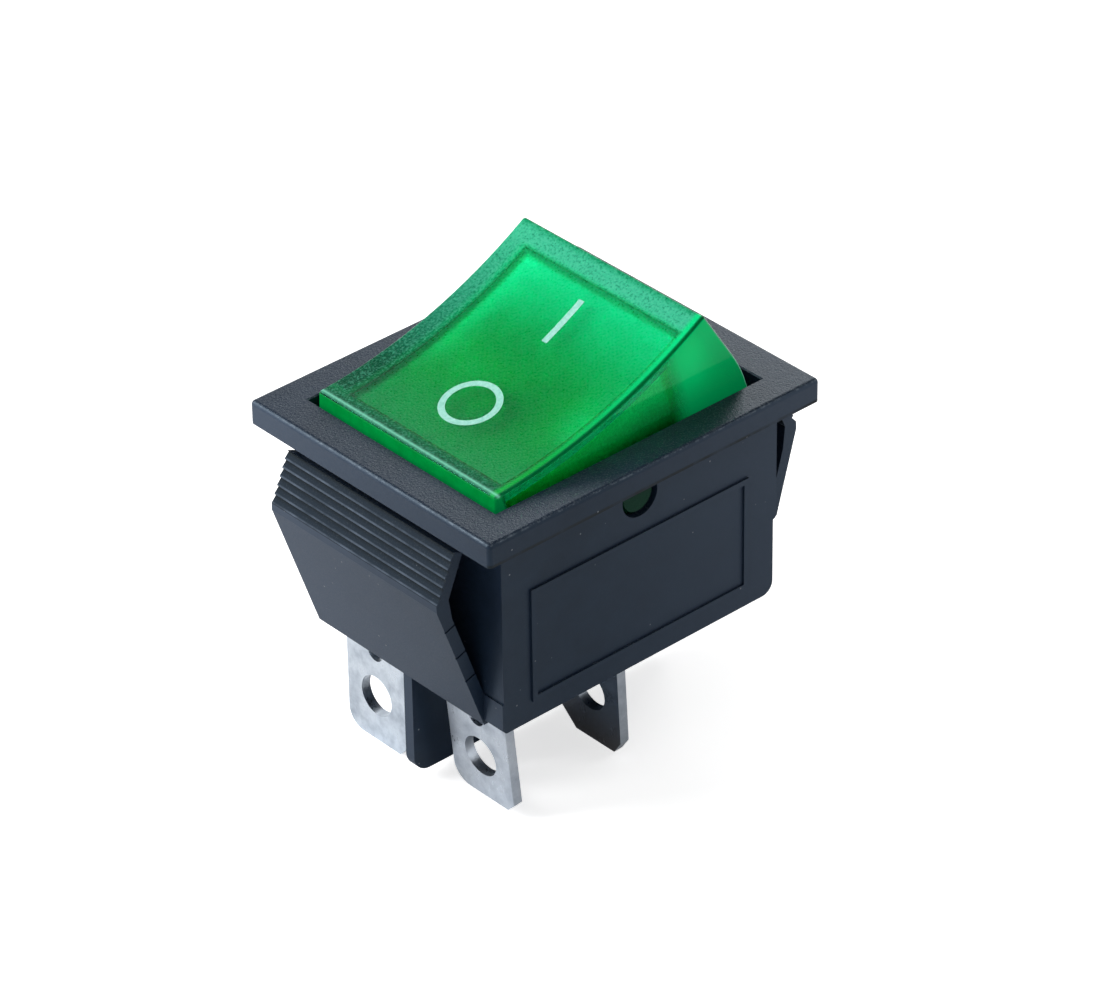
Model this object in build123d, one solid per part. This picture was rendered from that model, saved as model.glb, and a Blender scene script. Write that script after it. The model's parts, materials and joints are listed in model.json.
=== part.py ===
"""Two-pole panel rocker switch with a lit rocker, shown in its OFF position.

Frame: X runs along the switch, from the O end (-X) to the I end (+X).
Y is the pivot axis, Z points up. The origin is the centre of the bezel's
underside, the face that sits on the panel. All sizes are in millimetres.
"""

import os
from math import asin, atan2, cos, degrees, radians, sin, sqrt, tan

from build123d import *

# Bezel and body
BEZEL_LENGTH = 31.1
BEZEL_WIDTH = 25.36
BEZEL_THICKNESS = 1.88
BEZEL_EDGE = 0.35
BODY_LENGTH = 25.84
BODY_WIDTH = 21.6
BODY_DEPTH = 16.0
BODY_EDGE = 0.3
FRONT_CORNER_R = 1.0
BACK_CORNER_R = 2.6
SIDE_WALL = 0.9
END_WALL = 0.42
FLOOR = 1.5
OPENING_CHAMFER = 0.1

# Lower chamber, below the sweep of the rocker
CHAMBER_TOP = 7.2
CHAMBER_END_WALL = 1.8
DIVIDER = 1.2
STOP_THICKNESS = 1.0
BARRIER_THICKNESS = 0.9
BARRIER_DEPTH = 9.2
BARRIER_CORNER = 1.5
BARRIER_END = 0.4

# Snap latches at the two ends
LATCH_WIDTH = 17.6
LATCH_REACH = 4.15
LATCH_TOP_REACH = 2.55
LATCH_TOP_DROP = 0.52
LATCH_KNEE_DROP = 4.2
LATCH_KNEE_THICKNESS = 1.1
LATCH_LAND = 0.6
LATCH_BLEND = 1.4
LATCH_FOOT = 0.15
LATCH_THICKNESS = 0.93
LATCH_FLARES = (0.25, 0.4)
LATCH_FLARE_FEET = (16.5, 11.1)
LATCH_TEETH = 6
TOOTH_DEPTH = 0.2
TOOTH_UNDERCUT = 0.15
LATCH_SINK = 0.25
SCORE_DROPS = (2.0, 4.6, 6.9)
SCORE_LINE = 0.15
SCORE_CUT = 0.1
LEDGE_HEIGHT = 2.5
LEDGE_STEP = 0.12
LEDGE_SINK = 0.5
CORNER_STRIP_STEP = 0.28
CORNER_STRIP_FOOT = 9.8
CORNER_STRIP_WIDTH = 0.9

# Raised frame on the front side of the body
FRAME_INSET = 2.57
FRAME_TOP = 5.0
FRAME_FOOT = 1.6
FRAME_LINE = 0.45
FRAME_RISE = 0.18

# Rocker and its pivot
PIVOT_DROP = 1.95
PIVOT_HOLE_R = 1.65
PIVOT_PLAY = 0.07
PIVOT_RECESS = 0.25
ROCKER_TILT = 17.7
ROCKER_END_GAP = 0.33
ROCKER_SIDE_GAP = 0.5
ROCKER_TOP = 8.1
ROCKER_SAG = 1.33
ROCKER_TANGENTS = (20.0, 15.0)
ROCKER_SKIRT = 0.5
ROCKER_WALL = 1.2
ROCKER_TOP_WALL = 1.3
ROCKER_EDGE = 0.25
LOBE_R = 3.0

# Carrier inside the rocker
CORE_PLAY = 0.1
CORE_WALL = 1.0
CORE_RISE = 0.5
TUBE_WALL = 0.55
TUBE_DROP = 2.2
SADDLE_THICKNESS = 0.8
SADDLE_SPAN = 6.6
SADDLE_OFFSETS = (-3.2, 2.4)

# Plungers and springs
BALL_R = 1.2
BALL_DROP = 4.8
BALL_PLAY = 0.13
PLUNGER_HEAD_R = 1.57
PLUNGER_PLAY = 0.08
PLUNGER_HEAD_TOP = 0.6
PLUNGER_HEAD_LENGTH = 3.2
SPRING_WIRE = 0.4
SPRING_R = 1.1
SPRING_TURNS = 5
SPRING_PLAY = 0.05

# Contact bars
BAR_TILT = 9.0
BAR_THICKNESS = 0.8
BAR_WIDTH = 3.8
BAR_OVERHANG = 0.8
BAR_VALLEY_SLOPE = 20.0
BAR_VALLEY_REACH = 2.2
BAR_WAIST = 2.4
BAR_NOTCH = 0.9
BAR_PLAY = 0.07
CONTACT_INSET = 3.15
CONTACT_R = 1.6
CONTACT_HEAD = 0.6
CONTACT_SHANK_R = 0.8
CONTACT_GAP = 0.06
RIVET_END = 0.2

# Terminals
POLE_INSET = 4.45
TAB_WIDTH = 6.3
TAB_THICKNESS = 0.8
TAB_CORNER = 1.5
TAB_SMALL_CORNER = 0.7
SQUARE_CUT_CORNER = (0.75, 1.1)
END_TAB_INSET = 1.97
END_TAB_LENGTHS = (9.5, 10.0)
END_TAB_LEANS = (5.8, 0.0)
END_LEAN_DROP = 2.2
END_HOLE_UPS = (3.65, 3.9)
CENTRE_TAB_LENGTH = 9.5
CENTRE_TAB_LEANS = (2.75, 0.0)
CENTRE_HOLE_UP = 4.35
SLOT_PLAY = 0.05
HOLE_R = 1.65
SMALL_HOLE_R = 0.8
SMALL_HOLE_DROP = 2.2
SHELF_LIP = 0.22
EAR_GAP = 0.15
EAR_RISE = 0.8
LUG_WIDTH = 1.0
LUG_OVERHANG = 0.35
LUG_GAP = 0.1

# Indicator lamp
LAMP_R = 1.9
LAMP_LENGTH = 9.6
LAMP_ROUND = 1.3
LAMP_BASE_ROUND = 0.7
LAMP_TIP_R = 0.65
LAMP_TIP = 0.9
LAMP_X = 2.5
LAMP_Z = 2.1
RESISTOR_R = 0.85
RESISTOR_LENGTH = 3.4
RESISTOR_WAIST_R = 0.72
LINK_LENGTH = 1.6
ELECTRODE_Y = 0.9
LEAD_R = 0.25
LEAD_BEND = 0.35
LEAD_TURN = 0.8
LEAD_GAP = 0.25
LEAD_Z = 0.6
LEG_X = 5.0
LEG_DROP = 3.0

BODY_END = BODY_LENGTH / 2
BODY_SIDE = BODY_WIDTH / 2
CAVITY_END = BODY_END - END_WALL
CAVITY_SIDE = BODY_SIDE - SIDE_WALL
FLOOR_TOP = -BODY_DEPTH + FLOOR
PIVOT = Vector(0, 0, -PIVOT_DROP)
ROCKER_R = CAVITY_END - ROCKER_END_GAP
ROCKER_SIDE = CAVITY_SIDE - ROCKER_SIDE_GAP
ROCKER_PLACE = Pos(PIVOT) * Rot(0, -ROCKER_TILT, 0)
TUBE_BORE_R = PLUNGER_HEAD_R + PLUNGER_PLAY
TUBE_R = TUBE_BORE_R + TUBE_WALL
END_TAB_X = BODY_END - END_TAB_INSET
POLE_Y = CAVITY_SIDE - POLE_INSET
CONTACT_X = END_TAB_X - CONTACT_INSET
BAR_REACH = CONTACT_X + BAR_OVERHANG
LAMP_FOOT_X = LAMP_X - LAMP_LENGTH / 2
RESISTOR_X = LAMP_FOOT_X - LINK_LENGTH - RESISTOR_LENGTH / 2
LEAD_Y = POLE_Y - TUBE_R - LEAD_GAP - LEAD_R

# Where the contact bar turns: the ball clears its valley at mid travel by its play
BAR_DROP = BALL_DROP + BAR_THICKNESS + (BALL_R + BALL_PLAY) / cos(radians(BAR_VALLEY_SLOPE))
BAR_AXIS_Z = -PIVOT_DROP - BAR_DROP
VALLEY_RISE = BAR_VALLEY_REACH * tan(radians(BAR_VALLEY_SLOPE))


def turned(x, z, degrees):
    """A point of the XZ plane turned about Y, positive lowering the +X side."""
    a = radians(degrees)
    return x * cos(a) + z * sin(a), z * cos(a) - x * sin(a)


def bar_under(x):
    """Height of a contact bar's underside above its axis, x from the middle."""
    return VALLEY_RISE + (abs(x) - BAR_VALLEY_REACH) * tan(radians(BAR_TILT))


# A closed arm lies level, and its rivet meets the fixed contact there
ARM_LEVEL_Z = BAR_AXIS_Z + turned(CONTACT_X, bar_under(CONTACT_X), BAR_TILT)[1]
ARM_LEVEL_X = turned(CONTACT_X, bar_under(CONTACT_X), BAR_TILT)[0]
SHELF_TOP = ARM_LEVEL_Z - 2 * CONTACT_HEAD - CONTACT_GAP
SHELF_LENGTH = END_TAB_X - ARM_LEVEL_X + CONTACT_R + SHELF_LIP

# The lowest point of a lamp leg's end when the I end is pressed
LEG_LOW_X, LEG_LOW_Z = turned(LEG_X + LEAD_R, -LEG_DROP, ROCKER_TILT)


def block(x0, x1, y0, y1, z0, z1):
    """A box between two corners."""
    return Pos((x0 + x1) / 2, (y0 + y1) / 2, (z0 + z1) / 2) * Box(x1 - x0, y1 - y0, z1 - z0)


def plate(points, y0, y1):
    """A flat outline in XZ, given as (x, z) points, made solid from y0 to y1."""
    outline = Polyline([Vector(x, y0, z) for x, z in points], close=True)
    return extrude(make_face(outline.edges()), amount=y1 - y0, dir=(0, 1, 0))


def board(points, x0, x1):
    """A flat outline in YZ, given as (y, z) points, made solid from x0 to x1."""
    outline = Polyline([Vector(x0, y, z) for y, z in points], close=True)
    return extrude(make_face(outline.edges()), amount=x1 - x0, dir=(1, 0, 0))


def both_ends(shape):
    """A shape and the same one half a turn about Z away."""
    return shape + Rot(0, 0, 180) * shape


def bezel():
    top = Pos(0, 0, BEZEL_THICKNESS / 2) * Box(BEZEL_LENGTH, BEZEL_WIDTH, BEZEL_THICKNESS)
    rounded = top.edges().filter_by(Axis.Z) + top.faces().sort_by(Axis.Z)[-1].edges()
    return fillet(rounded, BEZEL_EDGE)


def body_box():
    """The body, with the low corner that has no ledge rounded at each end."""
    box = block(-BODY_END, BODY_END, -BODY_SIDE, BODY_SIDE, -BODY_DEPTH, 0)
    low = box.faces().sort_by(Axis.Z)[0].edges().filter_by(Axis.Y)
    box = fillet(low, BODY_EDGE)
    box -= corner_waste(FRONT_CORNER_R)
    return box - Rot(0, 0, 180) * corner_waste(BACK_CORNER_R)


def corner_waste(r):
    """What a rounding takes off the front low corner at the I end, beside the latch."""
    x = BODY_END - r
    z = -BODY_DEPTH + r
    waste = block(x, BODY_END + 1, -BODY_SIDE - 1, -LATCH_WIDTH / 2, -BODY_DEPTH - 1, z)
    return waste - y_cylinder(r, -BODY_SIDE - 2, 0, x, z)


def latch(flare, flare_foot):
    """The snap latch at the I end: a toothed ramp, a short land and a long arm rooted at the bottom.

    Its front edge flares out by a little on the way down to the flare's foot.
    """
    top = Vector(BODY_END + LATCH_TOP_REACH, -LATCH_TOP_DROP)
    knee = Vector(BODY_END + LATCH_REACH, -LATCH_KNEE_DROP)
    bend = knee - Vector(0, LATCH_LAND)
    root = Vector(BODY_END + LEDGE_STEP, -BODY_DEPTH - LATCH_FOOT)
    ramp = knee - top
    inward = Vector(ramp.Y, -ramp.X).normalized()
    tooth = ramp * (1 / LATCH_TEETH)
    outer = [top]
    for i in range(LATCH_TEETH):
        outer.append(top + tooth * (i + TOOTH_UNDERCUT) + inward * TOOTH_DEPTH)
        outer.append(top + tooth * (i + 1))
    arm = root - bend
    arm_inward = Vector(arm.Y, -arm.X).normalized() * LATCH_THICKNESS
    inner_knee = knee - Vector(LATCH_KNEE_THICKNESS, 0)
    inner_bend = bend + arm_inward + arm * (LATCH_BLEND / -arm.Y)
    foot = (BODY_END - LATCH_SINK - inner_bend.X) / arm.X
    inner = [inner_bend + arm * foot, inner_bend, inner_knee, top + inward * LATCH_THICKNESS]
    outline = outer + [bend, root, Vector(BODY_END - LATCH_SINK, root.Y)] + inner
    half = LATCH_WIDTH / 2
    solid = plate([(p.X, p.Y) for p in outline], -half - flare, half)
    solid &= board([
        (half, 0), (half, root.Y), (-half, root.Y), (-half, -flare_foot - flare),
        (-half - flare, -flare_foot), (-half, -LATCH_KNEE_DROP), (-half, 0),
    ], 0, BEZEL_LENGTH)
    turn = degrees(atan2(-arm.X, -arm.Y))
    for drop in SCORE_DROPS:
        solid -= score(bend + arm * (drop / -arm.Y), turn)
    return solid


def score(point, turn):
    """A shallow line across the latch's back side face, square to its arm."""
    line = Box(3 * LATCH_THICKNESS, 2 * SCORE_CUT, SCORE_LINE)
    return Pos(point.X, LATCH_WIDTH / 2, point.Y) * Rot(0, turn, 0) * line


def latches():
    """A latch at each end, half a turn about Z apart but for their flares."""
    o_end, i_end = (latch(*sizes) for sizes in zip(LATCH_FLARES, LATCH_FLARE_FEET))
    return i_end + Rot(0, 0, 180) * o_end


def ledge():
    """The low step at the I end that the latch grows out of, up to the back corner."""
    foot = -BODY_DEPTH + BODY_EDGE
    return block(
        BODY_END - LEDGE_SINK, BODY_END + LEDGE_STEP, -LATCH_WIDTH / 2, BODY_SIDE,
        foot, foot + LEDGE_HEIGHT - BODY_EDGE,
    )


def corner_strip():
    """The low rib down the front corner of the I end, rounded at its foot."""
    strip_end = BODY_END + CORNER_STRIP_STEP
    rib = block(
        BODY_END - LEDGE_SINK, strip_end, -BODY_SIDE, -BODY_SIDE + CORNER_STRIP_WIDTH,
        -CORNER_STRIP_FOOT, 0,
    )
    foot = rib.edges().filter_by(Axis.Y).group_by(Axis.Z)[0].sort_by(Axis.X)[-1]
    return fillet(foot, CORNER_STRIP_STEP)


def barrier():
    """The rib under the floor that parts the two poles' terminals."""
    end = BODY_END - BARRIER_END
    half = BARRIER_THICKNESS / 2
    rib = block(-end, end, -half, half, -BODY_DEPTH - BARRIER_DEPTH, -BODY_DEPTH + FLOOR / 2)
    low = rib.faces().sort_by(Axis.Z)[0].edges().filter_by(Axis.Y)
    return fillet(low, BARRIER_CORNER)


def frame_rib():
    """The plain raised frame on the front side."""
    depth = (-BODY_SIDE - FRAME_RISE, -BODY_SIDE + SIDE_WALL / 2)
    end = BODY_END - FRAME_INSET
    foot = -BODY_DEPTH + FRAME_FOOT
    line = FRAME_LINE
    outer = block(-end, end, *depth, foot, -FRAME_TOP)
    return outer - block(-end + line, end - line, *depth, foot + line, -FRAME_TOP - line)


def housing():
    """Bezel, body, latches and barrier in one moulding."""
    shell = bezel() + body_box() + latches() + both_ends(ledge() + corner_strip())
    shell += barrier() + frame_rib()
    shell -= block(-CAVITY_END, CAVITY_END, -CAVITY_SIDE, CAVITY_SIDE, -CHAMBER_TOP, BEZEL_THICKNESS + 1)
    mouth = shell.faces().filter_by(Axis.Z).filter_by_position(
        Axis.Z, BEZEL_THICKNESS - 0.01, BEZEL_THICKNESS + 0.01
    )[0].inner_wires()[0].edges()
    shell = chamfer(mouth, OPENING_CHAMFER)
    chamber_end = BODY_END - CHAMBER_END_WALL
    for side in (-1, 1):
        near, far = sorted((side * DIVIDER / 2, side * CAVITY_SIDE))
        shell -= block(-chamber_end, chamber_end, near, far, FLOOR_TOP, -CHAMBER_TOP)
        centre = side * POLE_Y
        stop_x = ARM_LEVEL_X - STOP_THICKNESS / 2
        shell += block(
            stop_x, stop_x + STOP_THICKNESS, centre - BAR_WIDTH / 2, centre + BAR_WIDTH / 2,
            FLOOR_TOP, ARM_LEVEL_Z - CONTACT_GAP,
        )
        for x in (-END_TAB_X, -TAB_THICKNESS / 2):
            shell -= block(
                x - SLOT_PLAY, x + TAB_THICKNESS + SLOT_PLAY,
                centre - TAB_WIDTH / 2 - SLOT_PLAY, centre + TAB_WIDTH / 2 + SLOT_PLAY,
                -BODY_DEPTH - 1, FLOOR_TOP + 1,
            )
    return shell - Pos(PIVOT) * Rot(90, 0, 0) * Cylinder(PIVOT_HOLE_R, BODY_WIDTH + 2)


def top_arc(top_inset):
    """Height of the centre and radius of the rocker's hollow top.

    It passes through the I end's top corner and dips by the sag in the middle.
    """
    a = radians(ROCKER_TANGENTS[1])
    corner_x = ROCKER_R * cos(a) - (ROCKER_TOP - ROCKER_R * sin(a)) * tan(a)
    hollow_r = (corner_x ** 2 + ROCKER_SAG ** 2) / (2 * ROCKER_SAG)
    return ROCKER_TOP - ROCKER_SAG + hollow_r, hollow_r + top_inset


def end_line(r, tangent, centre_z, top_r):
    """Where one end's arc about the pivot becomes straight, and its corner on the hollow top."""
    a = radians(tangent)
    touch = Vector(r * cos(a), r * sin(a))
    along = Vector(-sin(a), cos(a))
    reach = touch - Vector(0, centre_z)
    b = reach.dot(along)
    return touch, touch + along * (-b - sqrt(b * b - reach.dot(reach) + top_r * top_r))


def end_outline(inset, top_inset, floor_z):
    """The rocker's long outline in its own frame, with the pivot at the origin.

    Each end is an arc about the pivot that runs on in a straight line, and
    the top is hollow, an arc about a centre above it.
    """
    r = ROCKER_R - inset
    centre_z, top_r = top_arc(top_inset)
    foot = Vector(sqrt(r * r - floor_z * floor_z), floor_z)
    corners = []
    edges = [Line((-foot.X, 0, foot.Y), (foot.X, 0, foot.Y))]
    for side, tangent in zip((-1, 1), ROCKER_TANGENTS):
        touch, corner = end_line(r, tangent, centre_z, top_r)
        mid_angle = (radians(tangent) + asin(floor_z / r)) / 2
        points = [(side * p.X, 0, p.Y) for p in (foot, touch, corner)]
        middle = (side * r * cos(mid_angle), 0, r * sin(mid_angle))
        edges += [ThreePointArc(points[0], middle, points[1]), Line(points[1], points[2])]
        corners.append(points[2])
    edges.append(ThreePointArc(corners[0], (0, 0, centre_z - top_r), corners[1]))
    return make_face([e.edge() for e in edges])


def slab(face, half):
    """A face of the XZ plane made solid to both sides."""
    return extrude(face, amount=half, dir=(0, 1, 0), both=True)


def y_cylinder(r, y0, y1, x=0, z=0):
    return Pos(x, (y0 + y1) / 2, z) * Rot(90, 0, 0) * Cylinder(r, y1 - y0)


def z_cylinder(r, y, low, high):
    return Pos(0, y, (low + high) / 2) * Cylinder(r, high - low)


def rocker_cap():
    """The hollow clear rocker with a pivot boss on each side."""
    cap = slab(end_outline(0, 0, -ROCKER_SKIRT), ROCKER_SIDE)
    cap = fillet([e for e in cap.edges() if is_rim(e) or is_side_edge(e)], ROCKER_EDGE)
    boss_end = BODY_SIDE - PIVOT_RECESS
    inner_side = ROCKER_SIDE - ROCKER_WALL
    for side in (-1, 1):
        near, far = sorted((side * inner_side, side * ROCKER_SIDE))
        cap += y_cylinder(LOBE_R, near, far)
        near, far = sorted((side * inner_side, side * boss_end))
        boss = y_cylinder(PIVOT_HOLE_R - PIVOT_PLAY, near, far)
        tip = boss.faces().sort_by(Axis.Y)[-1 if side > 0 else 0]
        cap += chamfer(tip.edges(), PIVOT_RECESS)
    cap -= slab(end_outline(ROCKER_WALL, ROCKER_TOP_WALL, -ROCKER_SKIRT), inner_side)
    return ROCKER_PLACE * cap


def runs_across(edge):
    return abs((edge @ 0).Y - (edge @ 1).Y) > ROCKER_SIDE


def is_rim(edge):
    """True for the edge across the top of each end."""
    return runs_across(edge) and (edge @ 0.5).Z > ROCKER_TOP - ROCKER_SAG


def is_side_edge(edge):
    """True for the long edges of both sides, but not along the open foot."""
    return not runs_across(edge) and (edge @ 0.5).Z > -ROCKER_SKIRT


def rocker_core():
    """The pale carrier in the cap: a thin shell, two plunger tubes and the lamp's saddles."""
    side = ROCKER_SIDE - ROCKER_WALL - CORE_PLAY
    inset = ROCKER_WALL + CORE_PLAY
    top_inset = ROCKER_TOP_WALL + CORE_PLAY
    core = slab(end_outline(inset, top_inset, CORE_RISE), side)
    hollow = slab(end_outline(inset + CORE_WALL, top_inset + CORE_WALL, CORE_RISE), side - CORE_WALL)
    core -= hollow
    roof = ROCKER_TOP - ROCKER_SAG - top_inset
    ceiling = roof - CORE_WALL
    for y in (-POLE_Y, POLE_Y):
        core += z_cylinder(TUBE_R, y, -TUBE_DROP, roof - CORE_WALL / 2)
        core -= z_cylinder(TUBE_BORE_R, y, -TUBE_DROP, ceiling)
    for offset in SADDLE_OFFSETS:
        x = LAMP_X + offset
        core += block(
            x - SADDLE_THICKNESS / 2, x + SADDLE_THICKNESS / 2,
            -SADDLE_SPAN / 2, SADDLE_SPAN / 2, LAMP_Z, roof - CORE_WALL / 2,
        )
    core -= Pos(LAMP_X, 0, LAMP_Z) * Rot(0, 90, 0) * Cylinder(LAMP_R + SLOT_PLAY, LAMP_LENGTH)
    return ROCKER_PLACE * core


def plunger(y):
    """A round-nosed plunger, hung so that its ball just clears the contact bar."""
    head_foot = PLUNGER_HEAD_TOP - PLUNGER_HEAD_LENGTH
    head = z_cylinder(PLUNGER_HEAD_R, y, head_foot, PLUNGER_HEAD_TOP)
    stem = z_cylinder(BALL_R, y, -BALL_DROP, head_foot)
    ball = Pos(0, y, -BALL_DROP) * Sphere(BALL_R)
    return ROCKER_PLACE * (head + stem + ball)


def plunger_spring(y):
    """A coil spring between the tube's closed end and the plunger's head."""
    ceiling = ROCKER_TOP - ROCKER_SAG - ROCKER_TOP_WALL - CORE_PLAY - CORE_WALL
    low = PLUNGER_HEAD_TOP + SPRING_WIRE / 2 + SPRING_PLAY
    height = ceiling - SPRING_WIRE / 2 - SPRING_PLAY - low
    path = Helix(pitch=height / SPRING_TURNS, height=height, radius=SPRING_R)
    section = Plane(origin=path @ 0, z_dir=path % 0) * Circle(SPRING_WIRE / 2)
    coil = sweep(section, path=path, is_frenet=True)
    return ROCKER_PLACE * Pos(0, y, low) * coil


def bar_outline():
    """Points of the contact bar's side view about its axis: a shallow winged V."""
    under = [(-BAR_REACH, bar_under(BAR_REACH)), (-BAR_VALLEY_REACH, VALLEY_RISE), (0, 0)]
    under += [(-x, z) for x, z in reversed(under[:2])]
    return under + [(x, z + BAR_THICKNESS) for x, z in reversed(under)]


def bar_place(y):
    return Pos(0, y, BAR_AXIS_Z) * Rot(0, BAR_TILT, 0)


def rivet_place(y):
    """On the bar's -X arm, square to the arm."""
    return bar_place(y) * Pos(-CONTACT_X, 0, bar_under(CONTACT_X)) * Rot(0, BAR_TILT, 0)


def contact_bar(y):
    """The see-saw bar, waisted where the fork holds it."""
    bar = plate(bar_outline(), -BAR_WIDTH / 2, BAR_WIDTH / 2)
    for side in (-1, 1):
        near, far = sorted((side * BAR_WAIST / 2, side * BAR_WIDTH))
        bar -= block(-BAR_NOTCH, BAR_NOTCH, near, far, -1, VALLEY_RISE + BAR_THICKNESS)
    bar = bar_place(y) * bar
    return bar - rivet_place(y) * Cylinder(CONTACT_SHANK_R, 4 * BAR_THICKNESS)


def rivet(head_r, head, grip):
    """A contact rivet: its head below z=0, its shank and clinched end above."""
    face = Pos(0, 0, -head / 2) * Cylinder(head_r, head)
    face = chamfer(face.faces().sort_by(Axis.Z)[0].edges(), head / 4)
    shank = Pos(0, 0, grip / 2) * Cylinder(CONTACT_SHANK_R, grip)
    end = Pos(0, 0, grip + RIVET_END / 2) * Cylinder(CONTACT_SHANK_R + RIVET_END, RIVET_END)
    return face + shank + end


def moving_contact(y):
    return rivet_place(y) * rivet(CONTACT_R, CONTACT_HEAD, BAR_THICKNESS * cos(radians(BAR_TILT)))


def fixed_contact(y):
    upright = Pos(-ARM_LEVEL_X, y, SHELF_TOP) * Rot(180, 0, 0)
    return upright * rivet(CONTACT_R, CONTACT_HEAD, TAB_THICKNESS)


def x_cylinder(r, z):
    return Pos(0, 0, z) * Rot(0, 90, 0) * Cylinder(r, 4 * TAB_THICKNESS)


def blade(length, hole_up, square_cut):
    """One tab hanging from z=0, its outer face at x=0, the wire hole along X."""
    tab = block(0, TAB_THICKNESS, -TAB_WIDTH / 2, TAB_WIDTH / 2, -length, 0)
    low = tab.edges().filter_by(Axis.X).sort_by(Axis.Z)[:2].sort_by(Axis.Y)
    tab = chamfer(low[1], TAB_CORNER) if square_cut else fillet(low[1], TAB_CORNER)
    low = tab.edges().filter_by(Axis.X).sort_by(Axis.Y)[:2].sort_by(Axis.Z)
    if square_cut:
        across, up = SQUARE_CUT_CORNER
        tab = chamfer(low[0], across, up, reference=tab.faces().sort_by(Axis.Z)[0])
    else:
        tab = chamfer(low[0], TAB_SMALL_CORNER)
    return tab - x_cylinder(HOLE_R, -length + hole_up)


def strip(low, high):
    """A length of terminal strip standing on its edge, its outer face at x=0."""
    return block(0, TAB_THICKNESS, -TAB_WIDTH / 2, TAB_WIDTH / 2, low, high)


def hung(tab, z, lean):
    """A tab hung at a height, bent towards +X by its lean."""
    return Pos(0, 0, z) * Rot(0, -lean, 0) * tab


def end_terminal(y, length, hole_up, lean, lean_drop):
    """An L of strip: the shelf with the fixed contact, then down through the floor to the tab."""
    bend_z = -BODY_DEPTH - lean_drop
    shelf_under = SHELF_TOP - TAB_THICKNESS
    piece = strip(bend_z, SHELF_TOP)
    piece += block(0, SHELF_LENGTH, -TAB_WIDTH / 2, TAB_WIDTH / 2, shelf_under, SHELF_TOP)
    bend = piece.edges().filter_by(Axis.Y).group_by(Axis.Z)[-1].sort_by(Axis.X)[0]
    piece = fillet(bend, TAB_THICKNESS)
    piece += hung(blade(length - lean_drop, hole_up, False), bend_z, lean)
    piece -= x_cylinder(SMALL_HOLE_R, -BODY_DEPTH - SMALL_HOLE_DROP)
    piece = Pos(-END_TAB_X, y, 0) * piece
    return piece - Pos(-ARM_LEVEL_X, y, SHELF_TOP) * Cylinder(CONTACT_SHANK_R, 4 * TAB_THICKNESS)


def centre_terminal(y, side, lean):
    """A fork under the contact bar, with a lug for the lamp, and the tab below the floor."""
    fork_z = BAR_AXIS_Z - BAR_PLAY
    ear_top = BAR_AXIS_Z + BAR_THICKNESS + EAR_RISE
    ear_inner = BAR_WAIST / 2 + EAR_GAP
    half = TAB_WIDTH / 2
    piece = strip(-BODY_DEPTH, fork_z)
    for ear in (-1, 1):
        near, far = sorted((ear * ear_inner, ear * half))
        piece += block(0, TAB_THICKNESS, near, far, fork_z, ear_top)
    near, far = sorted((-side * half, -side * (half - LUG_WIDTH)))
    lug_top = LEG_LOW_Z - PIVOT_DROP - LUG_GAP
    lug_reach = TAB_THICKNESS / 2 + LEG_LOW_X + LUG_OVERHANG
    piece += block(0, TAB_THICKNESS, near, far, ear_top, lug_top)
    piece += block(0, lug_reach, near, far, lug_top - TAB_THICKNESS, lug_top)
    piece += hung(blade(CENTRE_TAB_LENGTH, CENTRE_HOLE_UP, True), -BODY_DEPTH, lean)
    piece -= x_cylinder(SMALL_HOLE_R, -BODY_DEPTH - SMALL_HOLE_DROP)
    return Pos(-TAB_THICKNESS / 2, y, 0) * piece


def wire(points):
    """A round wire through points of the rocker's frame, with small bends."""
    path = FilletPolyline([Vector(p) for p in points], radius=LEAD_BEND)
    section = Plane(origin=path @ 0, z_dir=path % 0) * Circle(LEAD_R)
    return ROCKER_PLACE * sweep(section, path=path)


def lamp_bulb():
    """The glass bulb, lying along the rocker between the plunger tubes."""
    half = LAMP_LENGTH / 2
    glass = Rot(0, 90, 0) * Cylinder(LAMP_R, LAMP_LENGTH)
    glass = fillet(glass.edges().filter_by(GeomType.CIRCLE).sort_by(Axis.X)[-1], LAMP_ROUND)
    glass = fillet(glass.edges().filter_by(GeomType.CIRCLE).sort_by(Axis.X)[0], LAMP_BASE_ROUND)
    tip = Pos(half, 0, 0) * Rot(0, 90, 0) * Cone(LAMP_TIP_R, LAMP_TIP_R / 3, LAMP_TIP)
    return ROCKER_PLACE * Pos(LAMP_X, 0, LAMP_Z) * (glass + tip)


def resistor():
    """The lamp's series resistor, waisted between its two end caps."""
    half = RESISTOR_LENGTH / 2
    body = Rot(0, 90, 0) * Cylinder(RESISTOR_WAIST_R, RESISTOR_LENGTH)
    cap_length = RESISTOR_LENGTH / 4
    for side in (-1, 1):
        cap = Rot(0, 90, 0) * Cylinder(RESISTOR_R, cap_length)
        cap = fillet(cap.edges().filter_by(GeomType.CIRCLE), cap_length / 3)
        body += Pos(side * (half - cap_length / 2), 0, 0) * cap
    return ROCKER_PLACE * Pos(RESISTOR_X, ELECTRODE_Y, LAMP_Z) * body


def lamp_link():
    """The short wire from one electrode to the resistor."""
    link = Rot(0, 90, 0) * Cylinder(LEAD_R, LINK_LENGTH)
    return ROCKER_PLACE * Pos(LAMP_FOOT_X - LINK_LENGTH / 2, ELECTRODE_Y, LAMP_Z) * link


def lamp_lead(side):
    """The wire from the lamp (side -1) or the resistor (side 1) to its leg above the lug."""
    x = LAMP_FOOT_X if side < 0 else RESISTOR_X - RESISTOR_LENGTH / 2
    y = side * ELECTRODE_Y
    turn = x - LEAD_TURN
    return wire([
        (x, y, LAMP_Z), (turn, y, LAMP_Z), (turn, side * LEAD_Y, LEAD_Z),
        (LEG_X, side * LEAD_Y, LEAD_Z), (LEG_X, side * LEAD_Y, -LEG_DROP),
    ])


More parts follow.
